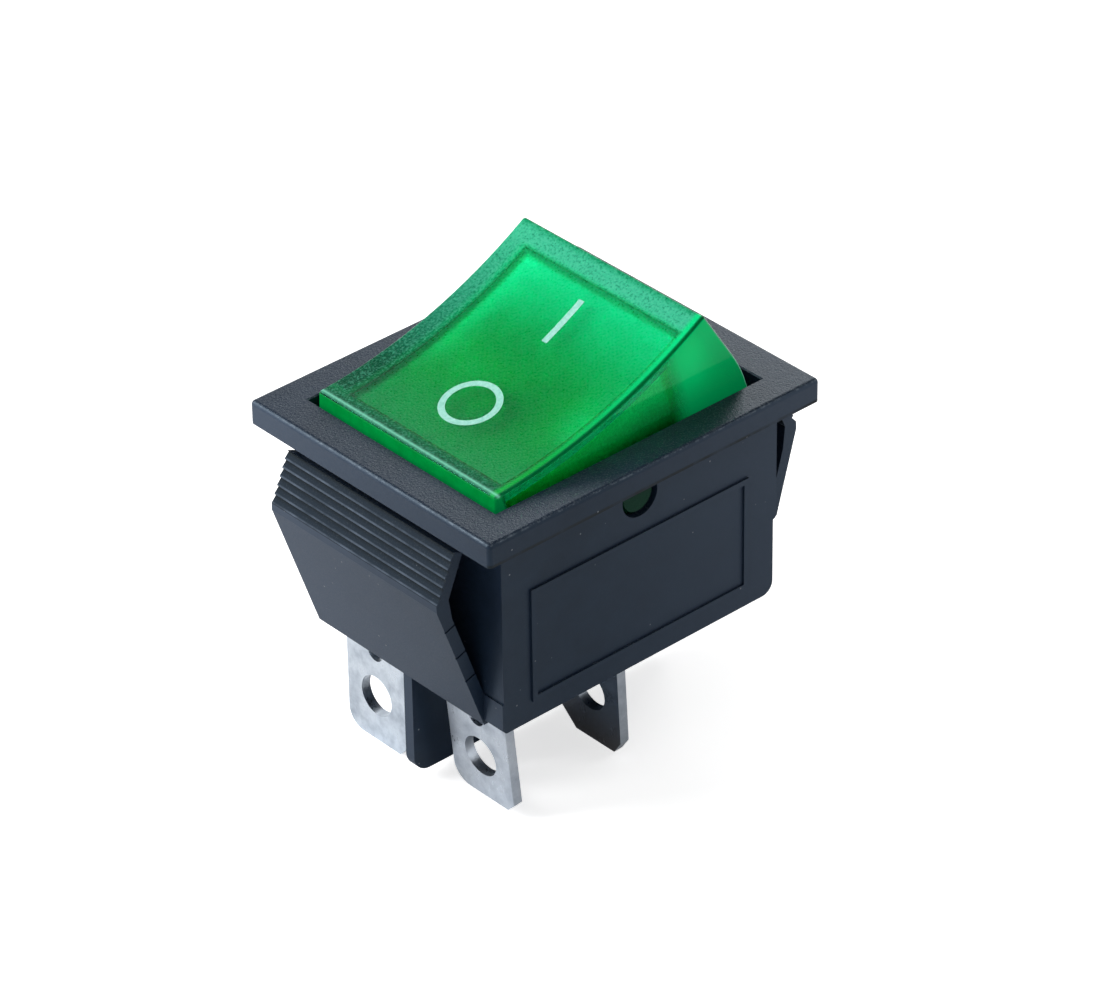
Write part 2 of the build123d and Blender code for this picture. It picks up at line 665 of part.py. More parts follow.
def pieces():
    """Every piece by name, in its place."""
    made = {
        "housing": housing(),
        "rocker_cap": rocker_cap(),
        "rocker_core": rocker_core(),
        "lamp_bulb": lamp_bulb(),
        "resistor": resistor(),
        "lamp_link": lamp_link(),
    }
    for n, side in ((1, -1), (2, 1)):
        y = side * POLE_Y
        i = n - 1
        made[f"lamp_lead_{n}"] = lamp_lead(side)
        made[f"plunger_{n}"] = plunger(y)
        made[f"plunger_spring_{n}"] = plunger_spring(y)
        made[f"contact_bar_{n}"] = contact_bar(y)
        made[f"moving_contact_{n}"] = moving_contact(y)
        made[f"fixed_contact_{n}"] = fixed_contact(y)
        drop = END_LEAN_DROP if END_TAB_LEANS[i] else 0
        made[f"end_terminal_{n}"] = end_terminal(
            y, END_TAB_LENGTHS[i], END_HOLE_UPS[i], END_TAB_LEANS[i], drop
        )
        made[f"centre_terminal_{n}"] = centre_terminal(y, side, CENTRE_TAB_LEANS[i])
    return made


os.makedirs("parts", exist_ok=True)
for name, piece in pieces().items():
    export_step(piece, f"parts/{name}.step")
    print(name, round(piece.volume, 2), len(piece.solids()))
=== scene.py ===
"""Looks for the lit rocker switch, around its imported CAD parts.

X runs along the switch from its O end to its I end, -Y is the front side and Z is up. Places and
heights are in millimetres, except for the lamps, the floor and the camera's near limit, in metres.
"""
import json
from math import cos, pi, radians, sin, sqrt

import bmesh
import bpy
from mathutils import Euler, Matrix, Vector


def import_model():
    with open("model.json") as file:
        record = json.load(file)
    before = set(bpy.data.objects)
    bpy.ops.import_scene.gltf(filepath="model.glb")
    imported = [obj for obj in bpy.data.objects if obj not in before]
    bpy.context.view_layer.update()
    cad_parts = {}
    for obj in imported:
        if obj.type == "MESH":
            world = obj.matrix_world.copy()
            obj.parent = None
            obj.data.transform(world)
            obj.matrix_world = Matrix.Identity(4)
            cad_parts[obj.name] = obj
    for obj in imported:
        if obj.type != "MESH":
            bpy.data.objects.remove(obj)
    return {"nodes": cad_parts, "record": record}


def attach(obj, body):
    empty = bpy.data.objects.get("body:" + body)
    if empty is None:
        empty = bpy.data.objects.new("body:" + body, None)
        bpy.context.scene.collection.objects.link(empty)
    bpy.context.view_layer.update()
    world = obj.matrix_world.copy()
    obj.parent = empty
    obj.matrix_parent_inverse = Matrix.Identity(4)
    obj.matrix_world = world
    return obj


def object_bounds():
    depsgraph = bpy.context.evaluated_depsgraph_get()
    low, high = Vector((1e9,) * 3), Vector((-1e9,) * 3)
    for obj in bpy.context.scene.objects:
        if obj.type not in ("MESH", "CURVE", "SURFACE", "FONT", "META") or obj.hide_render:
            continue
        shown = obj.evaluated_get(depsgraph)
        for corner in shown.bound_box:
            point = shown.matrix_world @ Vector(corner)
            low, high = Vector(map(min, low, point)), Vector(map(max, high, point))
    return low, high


MM = 0.001
WHITE = (1, 1, 1, 1)

# Axes and directions in the part's own space; the latch's face is the smooth one below its teeth
X, Y, Z = 0, 1, 2
UP = (0, 0, 1)
FRONT = (0, -1, 0)
O_END = (-1, 0, 0)
I_END = (1, 0, 0)
I_FRONT_CORNER = (0.707, -0.707, 0)
O_LATCH_FACE = (-0.94, 0, -0.34)

# A Mix node's sockets for colours: its factor, its two colours and its result
MIX_FACTOR, MIX_A, MIX_B = 0, 6, 7
MIX_RESULT = 2

# Camera: at the photograph's viewing angle
CAMERA_AT = (-219.23, -248.765, 211.817)
CAMERA_TURN = (56.4735, 0.7621, -42.0513)
CAMERA_LENS = 182.84
CAMERA_NEAR = 0.01

# Lamps: each one's place, size and power, all aimed at the middle of the part
LAMPS = {
    "key": ((-0.19, 0.17, 0.17), 0.20, 1.0),
    "card": ((0.20, 0.15, 0.14), 0.12, 0.12),
    "fill": ((0.22, -0.215, 0.25), 0.12, 0.12),
}

# Surroundings: light from all round, between which heights the backdrop dims, and the floor
WORLD_STRENGTH = 0.42
SKY_HEIGHTS = (0.42, 0.68)
SKY_OVERHEAD = 0.12
FLOOR_DROP = 0.00005
FLOOR_HALF = 1.5
FLOOR_TONE = (0.9, 0.9, 0.9, 1)
FLOOR_GLOW = 0.65

# Rocker: its pivot and tilt at rest, and the shape of its hollow top
PIVOT_DROP = 1.95
ROCKER_TILT = radians(17.7)
ROCKER_ALONG = (cos(ROCKER_TILT), 0, sin(ROCKER_TILT))
ROCKER_UP = (-sin(ROCKER_TILT), 0, cos(ROCKER_TILT))
TOP = 8.1
SAG = 1.33
TOP_CORNER_X = 10.43

# Zones of painted light and shade on the clear rocker, in its own frame, each from where it starts to
# where it is full
BACK_RIM_Y = (7.15, 7.55)
I_RIM_X = (8.4, 8.75)
O_RIM_X = (-8.75, -9.15)
FRONT_STRIP_Y = (-8.5, -8.85)
FRONT_LINE_Y = (-9.05, -9.2)
I_CORNER_X = (5.6, 7.2)
O_FACE_X = (-9.4, -9.7)
O_FACE_Z = (5.4, 6.6)
I_HIGHLIGHT_X = (8.5, 9.3)
O_HIGHLIGHT_X = -9.78

# Clear plastic: what it lets through with depth and how quickly it takes the rest, its gloss, the
# colour of the faint glow painted on it, and what its zones of painted light and shade still let
# through
CLEAR_TINT = (0, 0.97, 0.90, 1)
CLEAR_DENSITY = 2000
CLEAR_IOR = 1.53
CLEAR_GLOSS_TINT = (0.02, 0.8, 0.5, 1)
CLEAR_PAINTED_GLOW = (0, 1.0, 0.32, 1)
PAINTED_ZONE_TRANSMISSION = 0.15

# Pivot bosses: how far they reach along the rocker, and their height in the housing
BOSS_X = (2.6, 2.0)
BOSS_Z = (0.2, -0.4)

# Light and shade on the carrier: how much, where along and across the rocker, and how far it spreads
CORE_LIGHTS = (
    (0.32, (2.0, 7.6), (4.5, 1.6)),
    (0.25, (9.0, 8.0), (4.0, 3.0)),
    (0.20, (-0.5, -8.0), (4.0, 2.2)),
    (0.12, (-9.5, -6.0), (3.0, 6.0)),
    (0.16, (-1.0, 1.0), (2.6, 20.0)),
    (-0.30, (-1.6, -2.8), (2.6, 2.4)),
    (-0.08, (2.0, 2.0), (2.2, 2.0)),
)

# Printed marks on the rocker's top, in its own frame
MARK_THICKNESS = 0.03
MARK_STROKE = 0.52
RING_AT = (-4.23, -0.18)
RING_R = 2.33
RING_STEPS = 96
BAR_FROM = (2.97, -0.18)
BAR_TO = (7.1, 0.0)
BAR_STEPS = 12

# Black moulding: between which places the painted light on its O end and its front grows, and its
# gloss
O_END_PAINTED_LIGHT_Y = (-12, 12)
FRONT_PAINTED_LIGHT_X = (-6, 14)
BODY_GLOSS_TINT = (0.62, 0.82, 1.0, 1)

# Bezel: its upper edge with its painted highlight, and a broken dark line along the foot of its front
BEZEL_EDGE_Z = 1.8
BEZEL_FOOT_LINE_Y = (-12.3, -12.5)
BEZEL_FOOT_LINE_TOP = (0.3, 0.18)
BEZEL_FOOT_LINE_FOOT = (-0.05, 0.0)

# Toothed ramp of each latch: its end, its top and foot heights and its teeth
TEETH_END = 13.4
TEETH_TOP = -0.52
TEETH_FOOT = -4.2
TEETH = 6

# Surface detail, as features per millimetre; the weave's waves are in radians per millimetre
GRAIN = 5.5
FINE_GRAIN = 9
GLINTS = 6.5
DRAWING_MARKS = 6
PRINT_WEAR = 4
DUST = 1.1
WEAVE = 15

# Blades: where the painted shade of the middle pair begins along the switch, and the heights between
# which it darkens
MIDDLE_BLADE_X = (-4.0, -2.0)
MIDDLE_BLADE_Z = (-21, -25)

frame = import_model()
cad_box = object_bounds()
nodes = frame["nodes"]


# Shader helpers
class Nodes:
    """A material's node tree, built by short calls."""

    def __init__(self, name):
        self.material = bpy.data.materials.new(name)
        self.material.use_nodes = True
        self.tree = self.material.node_tree
        self.shader = self.tree.nodes["Principled BSDF"]
        self.output = self.tree.nodes["Material Output"]
        self.coords = self.tree.nodes.new("ShaderNodeTexCoord")

    def link(self, source, target):
        self.tree.links.new(source, target)

    def fill(self, value, socket):
        """Gives a socket a value, or a link where the value is another socket."""
        if hasattr(value, "is_linked"):
            self.link(value, socket)
        else:
            socket.default_value = value

    def node(self, kind, **values):
        made = self.tree.nodes.new("ShaderNode" + kind)
        for key, value in values.items():
            setattr(made, key, value)
        return made

    def place(self, scale):
        """The part's own space, with a given number of units per millimetre along each axis."""
        mapping = self.node("Mapping")
        mapping.inputs["Scale"].default_value = [s / MM for s in scale]
        self.link(self.coords.outputs["Object"], mapping.inputs["Vector"])
        return mapping.outputs["Vector"]

    def noise(self, per_mm, detail=2.0, roughness=0.5, stretch=(1, 1, 1)):
        """Noise with a given number of features per millimetre."""
        made = self.node("TexNoise")
        made.inputs["Scale"].default_value = 1
        made.inputs["Detail"].default_value = detail
        made.inputs["Roughness"].default_value = roughness
        self.link(self.place([s * per_mm for s in stretch]), made.inputs["Vector"])
        return made.outputs["Fac"]

    def specks(self, per_mm, size):
        """Small dots, 1 on a dot and 0 elsewhere."""
        cells = self.node("TexVoronoi")
        cells.inputs["Scale"].default_value = 1
        self.link(self.place([per_mm] * 3), cells.inputs["Vector"])
        return self.remap(cells.outputs["Distance"], size, size * 0.6, 0, 1)

    def remap(self, value, low, high, to_low=0.0, to_high=1.0):
        """The value's place between low and high, held within them and set between two new ends."""
        made = self.node("MapRange")
        made.inputs["From Min"].default_value = low
        made.inputs["From Max"].default_value = high
        made.inputs["To Min"].default_value = to_low
        made.inputs["To Max"].default_value = to_high
        self.link(value, made.inputs["Value"])
        return made.outputs["Result"]

    def mix(self, factor, a, b):
        """Mixes two colours; each is a colour or a socket."""
        made = self.node("Mix", data_type="RGBA")
        for value, index in ((factor, MIX_FACTOR), (a, MIX_A), (b, MIX_B)):
            self.fill(value, made.inputs[index])
        return made.outputs[MIX_RESULT]

    def math(self, operation, a, b=0.0):
        made = self.node("Math", operation=operation)
        self.fill(a, made.inputs[0])
        self.fill(b, made.inputs[1])
        return made.outputs[0]

    def plus(self, first, *others):
        for other in others:
            first = self.math("ADD", first, other)
        return first

    def times(self, first, *others):
        for other in others:
            first = self.math("MULTIPLY", first, other)
        return first

    def most(self, first, *others):
        """The largest of the values."""
        for other in others:
            first = self.math("MAXIMUM", first, other)
        return first

    def position(self, axis):
        """The X, Y or Z of the part's own space, in millimetres."""
        parts = self.node("SeparateXYZ")
        self.link(self.coords.outputs["Object"], parts.inputs[0])
        return self.math("DIVIDE", parts.outputs[axis], MM)

    def rocker_x(self):
        """Distance along the rocker from its pivot, in the rocker's own frame, in millimetres."""
        return self.from_pivot(ROCKER_ALONG)

    def rocker_z(self):
        """Height above the pivot in the rocker's own frame, in millimetres."""
        return self.from_pivot(ROCKER_UP)

    def from_pivot(self, direction):
        """Distance from the pivot's axis in a direction, in millimetres."""
        x = self.times(self.position(X), direction[X])
        z = self.plus(self.position(Z), PIVOT_DROP)
        return self.plus(x, self.times(z, direction[Z]))

    def hill(self, u, v, at, spread):
        """1 at a place, falling off smoothly to 0 around it."""
        total = 0.0
        for value, centre, width in ((u, at[0], spread[0]), (v, at[1], spread[1])):
            off = self.math("DIVIDE", self.math("SUBTRACT", value, centre), width)
            total = self.plus(self.times(off, off), total)
        return self.math("EXPONENT", self.times(total, -1.0))

    def facing(self, direction, low, high):
        """1 where the surface faces a direction of the part's own space, 0 where it turns away."""
        dot = self.node("VectorMath", operation="DOT_PRODUCT")
        self.link(self.coords.outputs["Normal"], dot.inputs[0])
        dot.inputs[1].default_value = direction
        return self.remap(dot.outputs["Value"], low, high)

    def bump(self, height, depth_mm, strength):
        made = self.node("Bump")
        made.inputs["Strength"].default_value = strength
        made.inputs["Distance"].default_value = depth_mm * MM
        self.link(height, made.inputs["Height"])
        self.link(made.outputs["Normal"], self.shader.inputs["Normal"])

    def set(self, **values):
        """Sets the main shader's sockets, named with an underscore for each space."""
        for key, value in values.items():
            self.fill(value, self.shader.inputs[key.replace("_", " ")])


def colour(red, green, blue):
    """A colour from its 0 to 255 values on a screen."""
    def linear(value):
        share = value / 255
        return share / 12.92 if share <= 0.04045 else ((share + 0.055) / 1.055) ** 2.4
    return (linear(red), linear(green), linear(blue), 1)


# Black moulding
def body_tones(n, cloud):
    """Near black, with painted light that makes the O end paler toward its back and the front paler
    toward the I end.
    """
    tone = n.mix(n.remap(cloud, 0.3, 0.7), colour(14, 27, 44), colour(20, 34, 52))
    o_end = n.times(n.facing(O_END, 0.5, 0.9), n.remap(n.position(Y), *O_END_PAINTED_LIGHT_Y))
    front = n.times(n.facing(FRONT, 0.5, 0.9), n.remap(n.position(X), *FRONT_PAINTED_LIGHT_X, 0, 0.9))
    return n.mix(n.plus(o_end, front), tone, colour(48, 59, 76))


def latch_teeth(n, z):
    """1 on the toothed ramps at both ends, 0 elsewhere."""
    zone = n.remap(n.math("ABSOLUTE", n.position(X)), TEETH_END, TEETH_END + 0.1)
    for start, full in ((TEETH_TOP + 0.05, TEETH_TOP), (TEETH_FOOT - 0.1, TEETH_FOOT)):
        zone = n.times(zone, n.remap(z, start, full))
    return n.times(zone, n.most(n.facing(O_END, 0.5, 0.7), n.facing(I_END, 0.5, 0.7)))


def tooth_tones(n, z, cloud):
    """Each tooth, downwards: painted shade in its groove, its lighter slope and a painted highlight on
    its lip.
    """
    turn = n.math("FRACT", n.remap(z, TEETH_TOP, TEETH_FOOT, 0, TEETH))
    groove = n.mix(n.remap(turn, 0.3, 0.6), colour(0, 1, 2), colour(18, 27, 38))
    lip = n.mix(n.remap(cloud, 0.35, 0.65), colour(40, 48, 58), colour(84, 94, 108))
    return n.mix(n.remap(turn, 0.80, 0.90), groove, lip)


def bezel_foot_line(n, z, cloud):
    """1 on a broken dark line along the foot of the bezel's front."""
    line = n.times(n.remap(z, *BEZEL_FOOT_LINE_TOP), n.remap(z, *BEZEL_FOOT_LINE_FOOT))
    return n.times(line, n.remap(n.position(Y), *BEZEL_FOOT_LINE_Y), n.remap(cloud, 0.3, 0.5))


def bezel_edge_highlight(n, z):
    """1 on the painted highlight along the bezel's upper edge, broken in places."""
    edge = n.hill(n.facing(UP, 0, 1), z, (0.72, BEZEL_EDGE_Z), (0.14, 0.25))
    return n.times(edge, n.remap(n.noise(1.6, 3, 0.7), 0.48, 0.64))


def moulding():
    """Near-black thermoplastic: a fine spark-eroded grain on the bezel's top, smoother below."""
    n = Nodes("body_moulding")
    z = n.position(Z)
    up = n.facing(UP, 0.6, 0.95)
    fine = n.noise(FINE_GRAIN, 2, 0.6)
    cloud = n.noise(0.35, 4, 0.6)
    teeth = latch_teeth(n, z)
    # Light specks on the grain, strongest on faces turned up: the grain's own pattern with painted
    # glints
    speck = n.times(n.remap(fine, 0.53, 0.68), n.remap(up, 0, 1, 0.03, 0.42))
    dust = n.times(n.specks(DUST, 0.09), n.remap(n.noise(0.6), 0.55, 0.6))
    tone = body_tones(n, cloud)
    for share, over in (
        (teeth, tooth_tones(n, z, cloud)),
        (bezel_foot_line(n, z, cloud), colour(1, 2, 4)),
        (speck, colour(108, 116, 120)),
        (bezel_edge_highlight(n, z), colour(88, 97, 108)),
        (dust, colour(120, 124, 130)),
    ):
        tone = n.mix(share, tone, over)
    arm = n.facing(O_LATCH_FACE, 0.95, 0.99)
    rough = n.plus(n.remap(up, 0, 1, 0.42, 0.35), n.times(teeth, 0.4), n.times(arm, 0.12))
    n.set(Base_Color=tone, Roughness=n.plus(rough, n.remap(fine, 0.3, 0.7, -0.05, 0.05)))
    n.set(Specular_IOR_Level=0.36, Specular_Tint=BODY_GLOSS_TINT)
    n.bump(n.times(n.noise(GRAIN, 2.5, 0.6), n.remap(up, 0, 1, 0.15, 1.0)), 0.05, 0.6)
    return n.material


# Clear green rocker: each of its zones gives 1 where it lies, and the tone with it laid over
def rim_zone(n, x, y, top):
    """1 on the top's rims, along the back and at both ends."""
    zone = n.remap(y, *BACK_RIM_Y)
    for start, full in (I_RIM_X, O_RIM_X):
        zone = n.most(zone, n.remap(x, start, full))
    return n.times(zone, top)


def rim_tones(n, x, y, grain):
    """Painted light and shade on the rims: deep green at the O end and paler toward the I end, flecked
    by the grain with painted glints.
    """
    along = n.remap(x, -5.0, 8.0)
    outer = n.mix(along, colour(0, 74, 48), colour(54, 180, 138))
    inner = n.mix(along, colour(0, 112, 56), colour(0, 196, 120))
    tone = n.mix(n.remap(y, 8.1, 7.4), outer, inner)
    i_end = n.mix(n.remap(x, 9.8, 10.25), colour(62, 192, 148), colour(8, 156, 102))
    tone = n.mix(n.remap(x, 8.5, 8.9), tone, i_end)
    o_end = n.mix(n.remap(x, -9.0, -9.6), colour(0, 108, 62), colour(0, 70, 44))
    tone = n.mix(n.remap(x, -8.6, -8.75), tone, o_end)
    bright = n.times(n.remap(grain, 0.5, 0.62), n.remap(x, -9.0, 9.5, 0.28, 0.32))
    tone = n.mix(bright, tone, colour(96, 206, 168))
    return n.mix(n.remap(grain, 0.47, 0.38, 0, 0.35), tone, colour(0, 84, 54))


def front_strip(n, x, y, slope, tone):
    """The painted lit strip along the top's front edge, with a painted dark line on its outer side."""
    zone = n.times(n.remap(y, *FRONT_STRIP_Y), n.remap(slope, 0.3, 0.6))
    lit = n.mix(n.remap(x, -6.0, 8.0), colour(0, 172, 62), colour(0, 224, 134))
    line = n.times(zone, n.remap(y, *FRONT_LINE_Y))
    return zone, n.mix(line, n.mix(zone, tone, lit), colour(0, 110, 56))


def i_corner(n, x, tone):
    """The front side near the I end, with painted light: brighter upwards, with a soft patch of light.
    """
    height = n.rocker_z()
    zone = n.times(n.facing(FRONT, 0.8, 0.95), n.remap(x, *I_CORNER_X))
    rising = n.mix(n.remap(height, 0.5, 6.5), colour(0, 104, 38), colour(0, 192, 102))
    patch = n.times(n.hill(x, height, (8.2, 5.2), (1.4, 2.2)), zone, 0.5)
    return zone, n.mix(patch, n.mix(zone, tone, rising), colour(0, 236, 134))


def o_face(n, x, slope, tone):
    """The O end's short upright face, painted bright green for the light that comes through it, softly
    mottled.
    """
    zone = n.times(n.remap(x, *O_FACE_X), n.remap(slope, 0.75, 0.6), n.remap(n.rocker_z(), *O_FACE_Z))
    mottled = n.mix(n.remap(n.noise(0.9, 3, 0.6), 0.35, 0.75), colour(0, 140, 48), colour(0, 116, 26))
    return zone, n.mix(zone, tone, mottled)


def rocker_edge_highlights(n, x, slope, tone):
    """Pale painted highlight lines along the O end's edge and up the I end's front corner."""
    edge = n.times(n.hill(slope, x, (0.75, O_HIGHLIGHT_X), (0.35, 0.13)), 0.9)
    corner = n.times(n.facing(I_FRONT_CORNER, 0.86, 0.95), n.remap(x, *I_HIGHLIGHT_X))
    zone = n.most(edge, corner)
    return zone, n.mix(zone, tone, colour(150, 250, 215))


def pivot_bosses(n, x, tone):
    """The pivot bosses, with painted shade: near black in their holes and a deep green at their
    lowest.
    """
    z = n.position(Z)
    zone = n.times(n.remap(z, *BOSS_Z), n.remap(n.math("ABSOLUTE", x), *BOSS_X))
    shaded = n.mix(n.remap(z, -1.4, -2.2), colour(0, 6, 4), colour(0, 40, 22))
    return zone, n.mix(zone, tone, shaded)


def clear_field(n, x, y, grain):
    """The clear plastic between the rims, with its grain and a faint weave."""
    weave = n.times(n.math("SINE", n.times(x, WEAVE)), n.math("SINE", n.times(y, WEAVE)))
    fleck = n.plus(n.remap(grain, 0.35, 0.65), n.times(weave, 0.25))
    return n.mix(fleck, colour(20, 236, 205), colour(70, 255, 240))


def deepen(n):
    """Makes the clear plastic greener the deeper light goes through it."""
    volume = n.node("VolumeAbsorption")
    volume.inputs["Color"].default_value = CLEAR_TINT
    volume.inputs["Density"].default_value = CLEAR_DENSITY
    n.link(volume.outputs["Volume"], n.output.inputs["Volume"])


def clear_green():
    """The rocker's clear green plastic, finely grained on its top and glossy on its sides.

    At the rims, edges and ends it is nearly opaque, and its colour there is painted light and shade.
    """
    n = Nodes("clear_green")
    x = n.rocker_x()
    y = n.position(Y)
    slope = n.facing(ROCKER_UP, 0, 1)
    top = n.remap(slope, 0.80, 0.9)
    grain = n.noise(GRAIN, 2, 0.6)
    rim = rim_zone(n, x, y, top)
    tone = rim_tones(n, x, y, grain)
    strip, tone = front_strip(n, x, y, slope, tone)
    corner, tone = i_corner(n, x, tone)
    face, tone = o_face(n, x, slope, tone)
    highlight_lines, tone = rocker_edge_highlights(n, x, slope, tone)
    boss, tone = pivot_bosses(n, x, tone)
    painted_zones = n.most(highlight_lines, rim, strip, corner, face, boss)
    n.set(Base_Color=n.mix(n.remap(painted_zones, 0.0, 0.2), clear_field(n, x, y, grain), tone))
    n.set(Transmission_Weight=n.remap(painted_zones, 0.15, 1, 1.0, PAINTED_ZONE_TRANSMISSION), IOR=CLEAR_IOR)
    # Painted glow on the I end's front corner and the O end's face, and painted glints on the top's
    # grain
    lit = n.plus(n.times(corner, 0.12), n.times(face, 0.08))
    glints = n.times(n.remap(n.noise(GLINTS, 2, 0.6), 0.58, 0.70), top, 0.09)
    n.set(Emission_Color=CLEAR_PAINTED_GLOW, Emission_Strength=n.plus(lit, glints))
    n.set(Roughness=n.plus(n.times(top, n.remap(grain, 0.3, 0.7, 0.2, 0.4)), 0.05))
    n.set(Specular_IOR_Level=0.15, Specular_Tint=CLEAR_GLOSS_TINT)
    n.bump(n.times(grain, top), 0.05, 0.8)
    deepen(n)
    return n.material


# Carrier inside the rocker
def core_top(n, x):
    """The carrier's top: bluest at the I end, yellowest just past the middle toward the O end."""
    tone = n.mix(n.remap(x, -9.0, -3.0), (0.6, 1.0, 0.34, 1), (0.6, 1.0, 0.14, 1))
    return n.mix(n.remap(x, 0.0, 8.5), tone, (0.6, 1.0, 0.68, 1))


def core_side(n, x):
    """The carrier's sides: bluer toward the I end, with painted shade that darkens them downwards and
    makes them near black in the housing.
    """
    tone = n.mix(n.remap(x, -9.5, 4.0), (0.5, 1.0, 0.12, 1), (0.6, 1.0, 0.42, 1))
    tone = n.mix(n.remap(n.rocker_z(), 0.8, 4.6), (0.2, 0.28, 0.08, 1), tone)
    return n.mix(n.remap(n.position(Z), 0.6, -0.8), tone, (0.03, 0.04, 0.02, 1))


def core_white():
    """The pale carrier under the clear rocker, lit and shaded by what lies inside it."""
    n = Nodes("core_white")
    x = n.rocker_x()
    y = n.position(Y)
    glow = n.remap(x, 1.0, 9.0, 0.70, 1.12)
    for amount, at, spread in CORE_LIGHTS:
        glow = n.plus(glow, n.times(n.hill(x, y, at, spread), amount))
    glow = n.plus(glow, n.remap(n.noise(0.6, 2, 0.5), 0.3, 0.7, -0.03, 0.03))
    lit = n.node("VectorMath", operation="SCALE")
    n.link(core_top(n, x), lit.inputs[0])
    n.link(glow, lit.inputs["Scale"])
    up = n.facing(ROCKER_UP, 0.4, 0.7)
    n.set(Base_Color=n.mix(up, core_side(n, x), lit.outputs[0]), Roughness=0.5)
    # Painted glow on the carrier's top where its painted light is brightest
    shine = n.times(n.remap(glow, 0.8, 1.4, 0, 0.45), up)
    n.set(Emission_Color=(0.2, 1.0, 0.7, 1), Emission_Strength=shine)
    return n.material


# Metals and the plainer plastics
def blade_tones(n, base, high, low):
    """Greyer front blades, and darker middle ones with painted shade, from the high tone down to the
    low one.
    """
    base = n.mix(n.remap(n.position(Y), 0.5, -0.5, 0, 0.3), base, colour(150, 156, 168))
    middle = n.times(n.remap(n.position(X), *MIDDLE_BLADE_X), n.facing(FRONT, 0.8, 0.3))
    return n.mix(middle, base, n.mix(n.remap(n.position(Z), *MIDDLE_BLADE_Z), high, low))


def metal(name, light, dull, blades=None):
    """Plated or rolled metal: long drawing marks, soft mottling and duller patches."""
    n = Nodes(name)
    marks = n.noise(DRAWING_MARKS, 2, 0.6, (1, 1, 0.15))
    cloud = n.noise(0.55, 4, 0.6)
    base = n.mix(n.remap(cloud, 0.42, 0.68), light, dull)
    if blades:
        base = blade_tones(n, base, *blades)
    rough = n.plus(n.remap(cloud, 0.3, 0.7, 0.25, 0.45), n.remap(marks, 0.3, 0.7, -0.05, 0.05))
    n.set(Base_Color=base, Metallic=1.0, Roughness=rough)
    n.bump(marks, 0.01, 0.4)
    return n.material


def plain(name, light, dark, roughness, transmission=0.0):
    """A simple moulded or glass finish with soft variation."""
    n = Nodes(name)
    base = n.mix(n.remap(n.noise(0.9, 3, 0.5), 0.3, 0.7), light, dark)
    n.set(Base_Color=base, Roughness=roughness, Transmission_Weight=transmission)
    return n.material


def dress():
    """Gives every CAD node its material."""
    made = {
        "body_moulding": moulding(),
        "clear_green": clear_green(),
        "core_white": core_white(),
        "bulb_glass": plain("bulb_glass", colour(240, 255, 245), colour(230, 250, 235), 0.05, 1.0),
        "resistor_body": plain("resistor_body", colour(200, 170, 120), colour(180, 150, 105), 0.35),
        "tinned_wire": metal("tinned_wire", colour(205, 205, 205), colour(170, 170, 168)),
        "plunger_plastic": plain("plunger_plastic", colour(235, 235, 228), colour(225, 224, 215), 0.3),
        "spring_steel": metal("spring_steel", colour(190, 190, 195), colour(150, 150, 155)),
        "bar_brass": metal("bar_brass", colour(214, 178, 100), colour(180, 140, 80)),
        "contact_silver": metal("contact_silver", colour(230, 230, 228), colour(200, 200, 198)),
        "terminal_plate": metal(
            "terminal_plate", colour(216, 225, 235), colour(178, 188, 200),
            # The middle blades' painted shade, high and low
            blades=(colour(122, 138, 158), colour(112, 112, 116)),
        ),
    }
    slots = {part["node"]: part["material_slot"] for part in frame["record"]["subparts"]}
    for name, node in nodes.items():
        node.data.materials.clear()
        node.data.materials.append(made[slots[name]])


# Surroundings
def put(name, data):
    """Puts a new object into the scene."""
    made = bpy.data.objects.new(name, data)
    bpy.context.scene.collection.objects.link(made)
    return made


def lamps():
    """Soft studio light: a key from the O end's side, a card at the far right and a weak fill."""
    for name, (place, size, power) in LAMPS.items():
        light = bpy.data.lights.new(name, "AREA")
        light.shape = "SQUARE"
        light.size = size
        light.energy = power
        lamp = put(name, light)
        lamp.location = place
        lamp.rotation_mode = "QUATERNION"
        lamp.rotation_quaternion = (-Vector(place)).to_track_quat("-Z", "Y")


def seen_by(tree, *rays):
    """1 for the named kinds of ray, 0 for any other light."""
    path = tree.nodes.new("ShaderNodeLightPath")
    total = path.outputs[rays[0]]
    for ray in rays[1:]:
        both = tree.nodes.new("ShaderNodeMath")
        both.operation = "MAXIMUM"
        tree.links.new(total, both.inputs[0])
        tree.links.new(path.outputs[ray], both.inputs[1])
        total = both.outputs[0]
    return total


def sky(tree):
    """White round the horizon and dimmer overhead, for what gloss and clear plastic show."""
    coords = tree.nodes.new("ShaderNodeTexCoord")
    parts = tree.nodes.new("ShaderNodeSeparateXYZ")
    tree.links.new(coords.outputs["Generated"], parts.inputs[0])
    dim = tree.nodes.new("ShaderNodeMapRange")
    dim.inputs["From Min"].default_value = SKY_HEIGHTS[0]
    dim.inputs["From Max"].default_value = SKY_HEIGHTS[1]
    dim.inputs["To Min"].default_value = 1.0
    dim.inputs["To Max"].default_value = SKY_OVERHEAD
    tree.links.new(parts.outputs[Z], dim.inputs["Value"])
    return dim.outputs["Result"]


def world():
    """Even light on the object, and a white backdrop for the camera, gloss and clear plastic."""
    made = bpy.data.worlds.new("studio")
    bpy.context.scene.world = made
    made.use_nodes = True
    tree = made.node_tree
    background = tree.nodes["Background"]
    background.inputs["Color"].default_value = WHITE
    background.inputs["Strength"].default_value = WORLD_STRENGTH
    white = tree.nodes.new("ShaderNodeBackground")
    white.inputs["Color"].default_value = WHITE
    tree.links.new(sky(tree), white.inputs["Strength"])
    mix = tree.nodes.new("ShaderNodeMixShader")
    seen = seen_by(tree, "Is Camera Ray", "Is Glossy Ray", "Is Transmission Ray")
    tree.links.new(seen, mix.inputs[0])
    tree.links.new(background.outputs[0], mix.inputs[1])
    tree.links.new(white.outputs[0], mix.inputs[2])
    tree.links.new(mix.outputs[0], tree.nodes["World Output"].inputs["Surface"])


